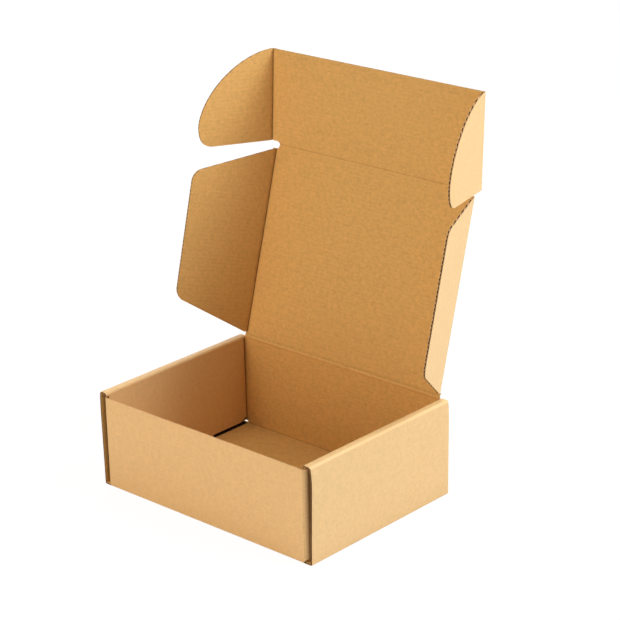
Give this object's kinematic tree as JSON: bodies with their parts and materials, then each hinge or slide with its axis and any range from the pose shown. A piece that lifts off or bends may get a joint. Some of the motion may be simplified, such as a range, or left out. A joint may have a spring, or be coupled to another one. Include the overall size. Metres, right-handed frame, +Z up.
{
  "type": "corrugated mailer box",
  "caption": "Open corrugated mailer box: double-walled tray, hinged lid with side flaps, and a front flap with rounded ears.",
  "frame": {"origin": "centre of the tray's floor, on the ground", "axes": "+X right, +Y to the hinged back wall, +Z up"},
  "size_m": [0.2748, 0.2124, 0.3217],
  "materials": {
    "kraft_board": "matte kraft paper"
  },
  "bodies": {
    "tray": {"tray": "kraft_board"},
    "lid": {"lid_panel": "kraft_board"},
    "front_flap": {"lid_front_flap": "kraft_board"},
    "side_flap_left": {"lid_side_flap_left": "kraft_board"},
    "side_flap_right": {"lid_side_flap_right": "kraft_board"},
    "ear_left": {"lid_ear_left": "kraft_board"},
    "ear_right": {"lid_ear_right": "kraft_board"}
  },
  "joints": [
    {"name": "lid_hinge", "type": "hinge", "parent": "tray", "child": "lid", "pos_m": [0, 0.0802, 0.08295], "axis": [1, 0, 0], "range_deg": [-74.2, 105.8]},
    {"name": "side_flap_fold_left", "type": "hinge", "parent": "lid", "child": "side_flap_left", "pos_m": [-0.1044, 0.10121, 0.16015], "axis": [0, 0.2723, 0.9622], "range_deg": [-29.7, 42.4]},
    {"name": "side_flap_fold_right", "type": "hinge", "parent": "lid", "child": "side_flap_right", "pos_m": [0.1044, 0.10121, 0.16015], "axis": [0, -0.2723, -0.9622], "range_deg": [-55, 78.4]},
    {"name": "front_flap_fold", "type": "hinge", "parent": "lid", "child": "front_flap", "pos_m": [0, 0.12422, 0.24145], "axis": [1, 0, 0], "range_deg": [-12.6, 10]},
    {"name": "ear_fold_left", "type": "hinge", "parent": "front_flap", "child": "ear_left", "pos_m": [-0.11025, 0.12645, 0.28139], "axis": [0, 0.0558, 0.9984], "range_deg": [-69.7, 20.3]},
    {"name": "ear_fold_right", "type": "hinge", "parent": "front_flap", "child": "ear_right", "pos_m": [0.11025, 0.12645, 0.28139], "axis": [0, -0.0558, -0.9984], "range_deg": [-72.7, 17.3]}
  ],
  "couplings": [
    {"joint": "side_flap_fold_left", "follows": "lid_hinge", "ratio": 0.4},
    {"joint": "side_flap_fold_right", "follows": "lid_hinge", "ratio": 0.74}
  ]
}
